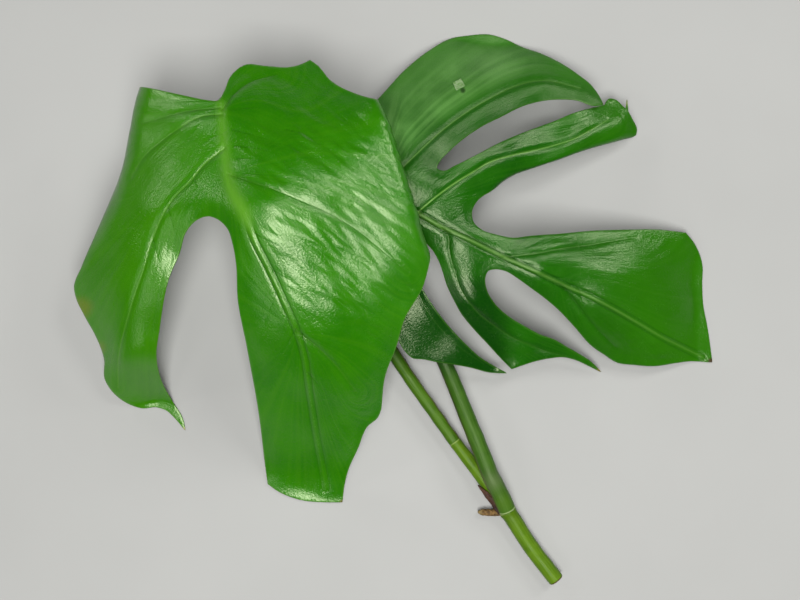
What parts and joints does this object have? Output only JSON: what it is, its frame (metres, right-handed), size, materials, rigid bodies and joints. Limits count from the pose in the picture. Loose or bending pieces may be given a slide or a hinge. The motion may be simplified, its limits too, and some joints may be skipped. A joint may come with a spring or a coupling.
{
  "type": "monstera cutting",
  "caption": "Cutting of a young monstera: glossy split leaves on long petioles from a short cut piece of green stem, lying on a surface.",
  "frame": {"origin": "on the surface that the cutting lies on, under the middle of its bounding box", "axes": "+X to the right and +Y up as the picture shows the plant, +Z up from the surface towards the eye"},
  "size_m": [0.3123, 0.274, 0.0804],
  "materials": {
    "front_leaf": "fresh waxy leaf, bright green, glossy where it faces the light, with a paler midrib",
    "back_leaf": "fresh waxy leaf, deeper blue-green, satin gloss, with a pale raised midrib",
    "green_stem": "smooth live stem, yellow-green, satin",
    "petiole": "smooth live petiole, mid green, satin",
    "dry_sheath": "dry brown papery sheath",
    "aerial_root": "rough brown root bark, matt"
  },
  "bodies": {
    "root": {"front_leaf": "front_leaf", "back_leaf": "back_leaf", "stem": "green_stem", "front_petiole": "green_stem", "back_petiole": "petiole", "dry_sheath": "dry_sheath", "aerial_root": "aerial_root"}
  },
  "joints": []
}
